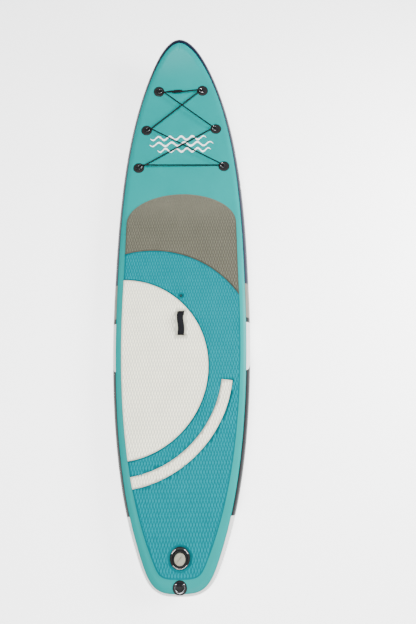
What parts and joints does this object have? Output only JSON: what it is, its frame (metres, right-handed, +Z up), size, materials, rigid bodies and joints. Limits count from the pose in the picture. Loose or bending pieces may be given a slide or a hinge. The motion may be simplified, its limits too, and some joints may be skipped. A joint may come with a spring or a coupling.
{
  "type": "inflatable stand up paddleboard",
  "caption": "Long inflatable board with half-round sides and a curled-up nose, foam deck pad, bungee tie-down, carry strap, inflation valve, leash ring and fin boxes.",
  "frame": {"origin": "middle of the width and of the length, on the surface that the board rests on", "axes": "+Y towards the nose, +X to starboard (the right of someone who stands on the board and faces the nose), +Z up off the deck"},
  "size_m": [0.8382, 3.3528, 0.3248],
  "materials": {
    "skin_turquoise": "satin",
    "sidewall_navy": "satin",
    "sidewall_black": "satin",
    "liner_grey": "matte",
    "yarn_white": "matte",
    "foam_teal": "matte",
    "foam_grey": "matte",
    "foam_cream": "matte",
    "patch_black": "matte",
    "webbing_black": "matte",
    "cord_black": "matte",
    "ring_steel": "polished",
    "valve_black": "satin",
    "seal_black": "matte",
    "valve_grey": "satin",
    "cap_grey": "gloss",
    "fin_box_black": "gloss"
  },
  "bodies": {
    "board": {"anchor_patch_front_port": "patch_black", "anchor_patch_front_starboard": "patch_black", "anchor_patch_middle_port": "patch_black", "anchor_patch_middle_starboard": "patch_black", "anchor_patch_rear_port": "patch_black", "anchor_patch_rear_starboard": "patch_black", "anchor_web_front_port": "webbing_black", "anchor_web_front_starboard": "webbing_black", "anchor_web_middle_port": "webbing_black", "anchor_web_middle_starboard": "webbing_black", "anchor_web_rear_port": "webbing_black", "anchor_web_rear_starboard": "webbing_black", "bungee_cord": "cord_black", "bungee_lashing": "webbing_black", "carry_strap": "webbing_black", "deck_insert": "valve_black", "deck_skin": "skin_turquoise", "drop_stitch_core": "yarn_white", "fin_base_centre": "skin_turquoise", "fin_base_tail": "skin_turquoise", "fin_box_centre": "fin_box_black", "fin_box_tail": "fin_box_black", "hull_skin": "skin_turquoise", "leash_patch": "patch_black", "leash_web": "webbing_black", "pad_disc": "foam_cream", "pad_front": "foam_grey", "pad_main": "foam_teal", "pad_stripe": "foam_cream", "rail_liner": "liner_grey", "sidewall_front_port": "sidewall_navy", "sidewall_front_starboard": "sidewall_navy", "sidewall_rear_port": "sidewall_black", "sidewall_rear_starboard": "sidewall_black", "strap_patch_front": "patch_black", "strap_patch_rear": "patch_black", "valve_back_nut": "valve_black", "valve_body": "valve_black", "valve_gasket": "seal_black", "valve_guide": "valve_black", "valve_ring": "valve_black", "valve_spring": "ring_steel"},
    "ring_front_port": {"anchor_ring_front_port": "ring_steel"},
    "ring_front_starboard": {"anchor_ring_front_starboard": "ring_steel"},
    "ring_middle_port": {"anchor_ring_middle_port": "ring_steel"},
    "ring_middle_starboard": {"anchor_ring_middle_starboard": "ring_steel"},
    "ring_rear_port": {"anchor_ring_rear_port": "ring_steel"},
    "ring_rear_starboard": {"anchor_ring_rear_starboard": "ring_steel"},
    "leash_ring": {"leash_ring": "ring_steel"},
    "cap_seal": {"valve_cap_seal": "seal_black"},
    "cap": {"valve_cap": "cap_grey"},
    "valve_stem": {"valve_stem": "ring_steel", "valve_seal": "seal_black"},
    "valve_button": {"valve_button": "valve_grey"}
  },
  "joints": [
    {"name": "ring_front_port_swing", "type": "hinge", "parent": "board", "child": "ring_front_port", "pos_m": [-0.149, 1.34359, 0.20525], "axis": [0.3135, 0.9206, 0.2329], "range_deg": [-6, 6]},
    {"name": "ring_front_starboard_swing", "type": "hinge", "parent": "board", "child": "ring_front_starboard", "pos_m": [0.149, 1.34359, 0.20525], "axis": [0.3135, -0.9206, -0.2329], "range_deg": [-6, 6]},
    {"name": "ring_middle_port_swing", "type": "hinge", "parent": "board", "child": "ring_middle_port", "pos_m": [-0.235, 1.07009, 0.16436], "axis": [-0.071, 0.9938, 0.0857], "range_deg": [-6, 6]},
    {"name": "ring_middle_starboard_swing", "type": "hinge", "parent": "board", "child": "ring_middle_starboard", "pos_m": [0.235, 1.07009, 0.16436], "axis": [-0.071, -0.9938, -0.0857], "range_deg": [-6, 6]},
    {"name": "ring_rear_port_swing", "type": "hinge", "parent": "board", "child": "ring_rear_port", "pos_m": [-0.283, 0.79299, 0.14709], "axis": [-0.2452, 0.9685, 0.0428], "range_deg": [-6, 6]},
    {"name": "ring_rear_starboard_swing", "type": "hinge", "parent": "board", "child": "ring_rear_starboard", "pos_m": [0.283, 0.79299, 0.14709], "axis": [-0.2452, -0.9685, -0.0428], "range_deg": [-6, 6]},
    {"name": "leash_ring_swing", "type": "hinge", "parent": "board", "child": "leash_ring", "pos_m": [0, -1.5952, 0.13851], "axis": [-1, 0, 0], "range_deg": [0, 150]},
    {"name": "cap_lift", "type": "slide", "parent": "board", "child": "cap_seal", "axis": [0, 0, 1], "range_m": [0, 0.025]},
    {"name": "cap_turn", "type": "hinge", "parent": "cap_seal", "child": "cap", "pos_m": [0, -1.4835, 0.145], "axis": [0, 0, 1], "range_deg": [0, 90]},
    {"name": "valve_push", "type": "slide", "parent": "board", "child": "valve_stem", "axis": [0, 0, -1], "range_m": [0, 0.007], "stiffness_N_per_m": 400, "springref_m": -0.005, "deforming": ["valve_spring"]},
    {"name": "button_turn", "type": "hinge", "parent": "valve_stem", "child": "valve_button", "pos_m": [0, -1.4835, 0.1323], "axis": [0, 0, 1], "range_deg": [0, 90]}
  ]
}
